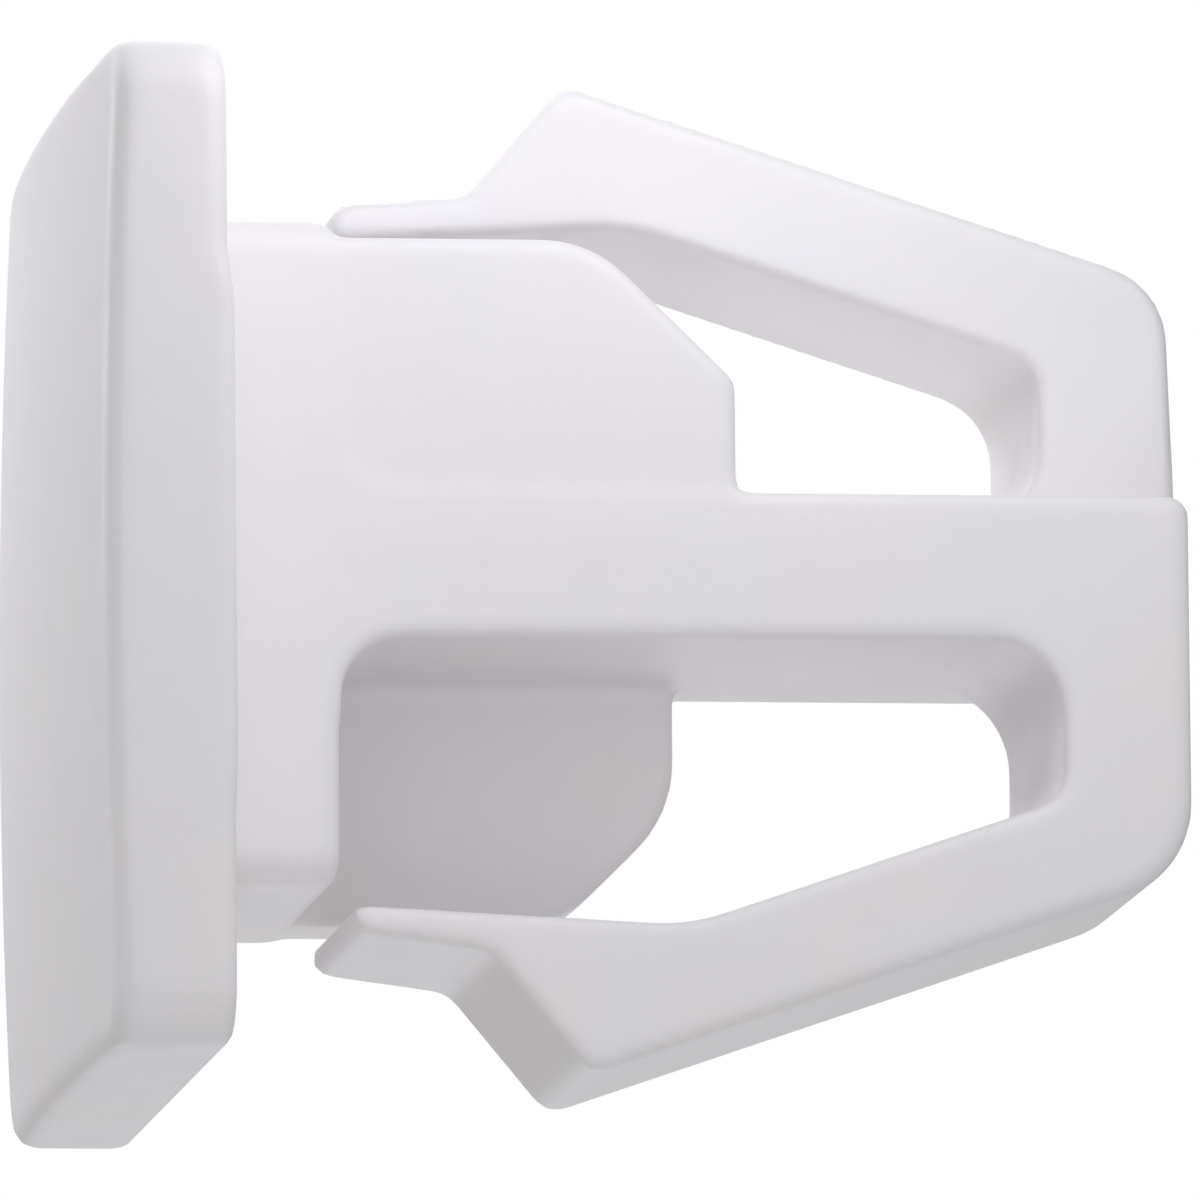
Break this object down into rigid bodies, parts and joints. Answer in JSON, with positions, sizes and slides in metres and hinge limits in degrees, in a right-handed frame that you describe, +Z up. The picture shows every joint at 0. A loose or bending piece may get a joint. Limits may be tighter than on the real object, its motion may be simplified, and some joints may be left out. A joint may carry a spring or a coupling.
{
  "type": "snap-in wall anchor",
  "caption": "Snap-in wall anchor in natural nylon: a square head, a Z-shaped core and opposed spring legs with barbs that grip behind the wall plate.",
  "frame": {"origin": "middle of the head's seating face, on the anchor's axis, where the axis enters the wall", "axes": "+X along the axis from the head to the nose, into the wall; +Z up, across the web; +Y away from the near side"},
  "size_m": [0.018, 0.016, 0.0162],
  "materials": {
    "nylon": "satin"
  },
  "bodies": {
    "core": {"head_flange": "nylon", "neck_collar": "nylon", "centre_web": "nylon", "near_core_wall": "nylon", "far_core_wall": "nylon", "nose_bar": "nylon", "near_nose_arm": "nylon", "far_nose_arm": "nylon"},
    "near_leg": {"near_spring_leg": "nylon", "near_barb": "nylon", "near_lock_tongue": "nylon"},
    "far_leg": {"far_spring_leg": "nylon", "far_barb": "nylon", "far_lock_tongue": "nylon"}
  },
  "joints": [
    {"name": "near_leg_flex", "type": "hinge", "parent": "core", "child": "near_leg", "pos_m": [0.0145, 0, -0.00398], "axis": [0, 1, 0], "range_deg": [0, 18], "stiffness_Nm_per_rad": 0.5},
    {"name": "far_leg_flex", "type": "hinge", "parent": "core", "child": "far_leg", "pos_m": [0.0145, 0, 0.00398], "axis": [0, -1, 0], "range_deg": [0, 18], "stiffness_Nm_per_rad": 0.5}
  ]
}
